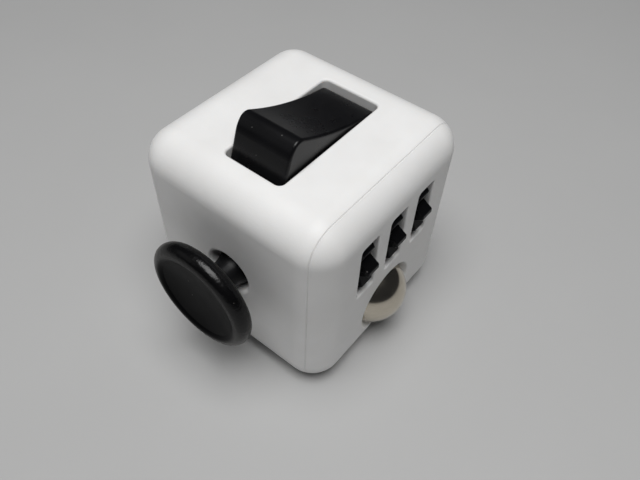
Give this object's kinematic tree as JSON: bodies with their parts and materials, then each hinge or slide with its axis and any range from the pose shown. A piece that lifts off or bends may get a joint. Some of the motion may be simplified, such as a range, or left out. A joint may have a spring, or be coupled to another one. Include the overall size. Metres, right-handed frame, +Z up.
{
  "type": "fidget cube",
  "caption": "Palm-sized rounded plastic cube with a finger control on each face: rocker, tilting thumb stick, push buttons, toothed wheels with a steel ball, turning dial and thumb hollow.",
  "frame": {"origin": "middle of the cube body's bottom face, which has the thumb hollow in it", "axes": "+Z up through the rocker's face; -Y towards the thumb stick; +X towards the toothed wheels and the ball; +Y the push buttons; -X the dial"},
  "size_m": [0.038, 0.0409, 0.0374],
  "materials": {
    "white_shell": "white moulded plastic with a fine matte texture",
    "black_control": "black moulded plastic, satin, fine texture",
    "black_inner": "black moulded plastic, smooth",
    "polished_ball": "polished steel",
    "steel": "plain steel",
    "screw_steel": "plated steel",
    "soft_dome": "grey silicone"
  },
  "bodies": {
    "cube": {"back_plate": "black_inner", "back_plate_screws": "screw_steel", "ball_dome": "steel", "body_shell": "white_shell", "button_plate": "black_inner", "centring_spring": "steel", "click_dome_1": "steel", "click_dome_2": "steel", "click_dome_5": "steel", "cone_washer": "steel", "cradle_screws": "screw_steel", "detent_spring": "steel", "gear_axle": "steel", "housing_screws": "screw_steel", "plate_screws": "screw_steel", "quiet_dome_3": "soft_dome", "quiet_dome_4": "soft_dome", "rocker_cradle": "black_inner", "roll_cover": "white_shell", "stick_housing": "black_inner"},
    "rocker": {"rocker": "black_control", "rocker_pin": "steel"},
    "stick_frame": {"gimbal_ring": "black_inner", "gimbal_pins": "steel"},
    "stick": {"stick": "black_inner", "stick_cap": "black_control", "cross_pin": "steel"},
    "gear_1": {"gear_1": "black_control"},
    "gear_2": {"gear_2": "black_control"},
    "gear_3": {"gear_3": "black_control"},
    "ball_cup": {"ball_cup": "black_inner"},
    "ball": {"ball": "polished_ball"},
    "dial": {"dial": "black_control", "retaining_washer": "steel", "dial_screw": "screw_steel"},
    "button_1": {"button_1": "black_control"},
    "button_2": {"button_2": "black_control"},
    "button_3": {"button_3": "black_control"},
    "button_4": {"button_4": "black_control"},
    "button_5": {"button_5": "black_control"}
  },
  "joints": [
    {"name": "rocker_flip", "type": "hinge", "parent": "cube", "child": "rocker", "pos_m": [0.0004, -0.0005, 0.0295], "axis": [1, 0, 0], "range_deg": [0, 37], "deforming": ["detent_spring"]},
    {"name": "stick_side", "type": "hinge", "parent": "cube", "child": "stick_frame", "pos_m": [0, -0.0122, 0.017], "axis": [0, 0, 1], "range_deg": [-10, 10], "stiffness_Nm_per_rad": 0.003, "deforming": ["centring_spring"]},
    {"name": "stick_up_down", "type": "hinge", "parent": "stick_frame", "child": "stick", "pos_m": [0, -0.0122, 0.017], "axis": [1, 0, 0], "range_deg": [-10, 10], "stiffness_Nm_per_rad": 0.003, "deforming": ["centring_spring"]},
    {"name": "button_1_press", "type": "slide", "parent": "cube", "child": "button_1", "axis": [0, -1, 0], "range_m": [0, 0.0008], "stiffness_N_per_m": 10, "springref_m": -0.0002, "deforming": ["click_dome_1"]},
    {"name": "button_2_press", "type": "slide", "parent": "cube", "child": "button_2", "axis": [0, -1, 0], "range_m": [0, 0.0008], "stiffness_N_per_m": 10, "springref_m": -0.0002, "deforming": ["click_dome_2"]},
    {"name": "button_3_press", "type": "slide", "parent": "cube", "child": "button_3", "axis": [0, -1, 0], "range_m": [0, 0.0008], "stiffness_N_per_m": 10, "springref_m": -0.0002, "deforming": ["quiet_dome_3"]},
    {"name": "button_4_press", "type": "slide", "parent": "cube", "child": "button_4", "axis": [0, -1, 0], "range_m": [0, 0.0008], "stiffness_N_per_m": 10, "springref_m": -0.0002, "deforming": ["quiet_dome_4"]},
    {"name": "button_5_press", "type": "slide", "parent": "cube", "child": "button_5", "axis": [0, -1, 0], "range_m": [0, 0.0008], "stiffness_N_per_m": 10, "springref_m": -0.0002, "deforming": ["click_dome_5"]},
    {"name": "gear_1_spin", "type": "hinge", "parent": "cube", "child": "gear_1", "pos_m": [0.0115, -0.0066, 0.0218], "axis": [0, 1, 0], "continuous": true},
    {"name": "gear_2_spin", "type": "hinge", "parent": "cube", "child": "gear_2", "pos_m": [0.0115, 0, 0.0218], "axis": [0, 1, 0], "continuous": true},
    {"name": "gear_3_spin", "type": "hinge", "parent": "cube", "child": "gear_3", "pos_m": [0.0115, 0.0066, 0.0218], "axis": [0, 1, 0], "continuous": true},
    {"name": "ball_press", "type": "slide", "parent": "cube", "child": "ball_cup", "axis": [-1, 0, 0], "range_m": [0, 0.0006], "stiffness_N_per_m": 200, "springref_m": -0.0002, "deforming": ["ball_dome"]},
    {"name": "ball_roll", "type": "hinge", "parent": "ball_cup", "child": "ball", "pos_m": [0.0138, 0, 0.0083], "axis": [0, 1, 0], "continuous": true},
    {"name": "dial_spin", "type": "hinge", "parent": "cube", "child": "dial", "pos_m": [-0.0155, 0, 0.0165], "axis": [1, 0, 0], "continuous": true}
  ]
}
